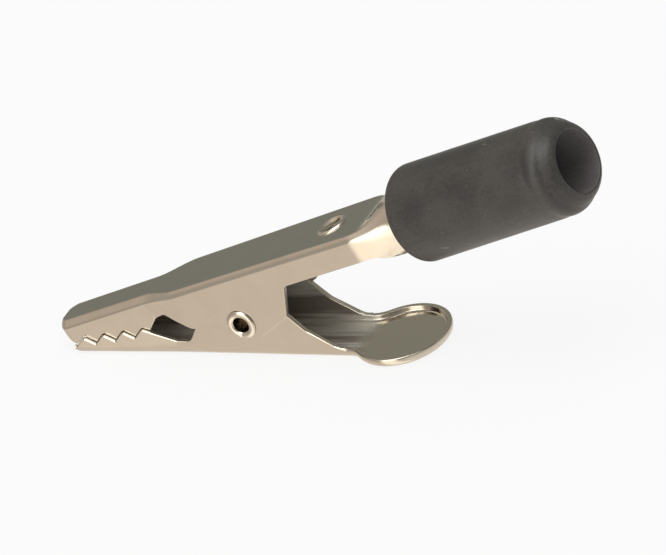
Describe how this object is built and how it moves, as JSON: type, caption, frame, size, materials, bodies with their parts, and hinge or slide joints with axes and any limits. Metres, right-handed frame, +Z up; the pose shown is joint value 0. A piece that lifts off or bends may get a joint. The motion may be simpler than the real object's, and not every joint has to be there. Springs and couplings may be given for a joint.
{
  "type": "crocodile clip",
  "caption": "Spring-loaded crocodile clip of nickel-plated sheet steel with toothed jaws, a dished thumb pad and a black insulating sleeve for the lead.",
  "frame": {"origin": "middle of the pivot rivet, on its axis", "axes": "+X from the nose to the tail, along the flat base of the lower jaw; +Y across the clip, along the rivet; +Z up from the base"},
  "size_m": [0.0626, 0.0096, 0.0246],
  "materials": {
    "nickel_sheet": "bright nickel plate with fine drawing lines",
    "nickel_rivet": "bright nickel plate",
    "spring_wire": "drawn spring steel",
    "black_sleeve": "moulded, satin"
  },
  "bodies": {
    "lower_lever": {"lower_jaw": "nickel_sheet"},
    "upper_body": {"upper_jaw": "nickel_sheet", "pivot_rivet": "nickel_rivet", "torsion_spring": "spring_wire", "terminal_screw": "nickel_rivet", "insulating_sleeve": "black_sleeve"}
  },
  "joints": [
    {"name": "jaw_hinge", "type": "hinge", "parent": "lower_lever", "child": "upper_body", "pos_m": [0, 0, 0], "axis": [0, 1, 0], "range_deg": [0, 22], "stiffness_Nm_per_rad": 0.08, "springref_deg": -34.38, "deforming": ["torsion_spring"]}
  ]
}
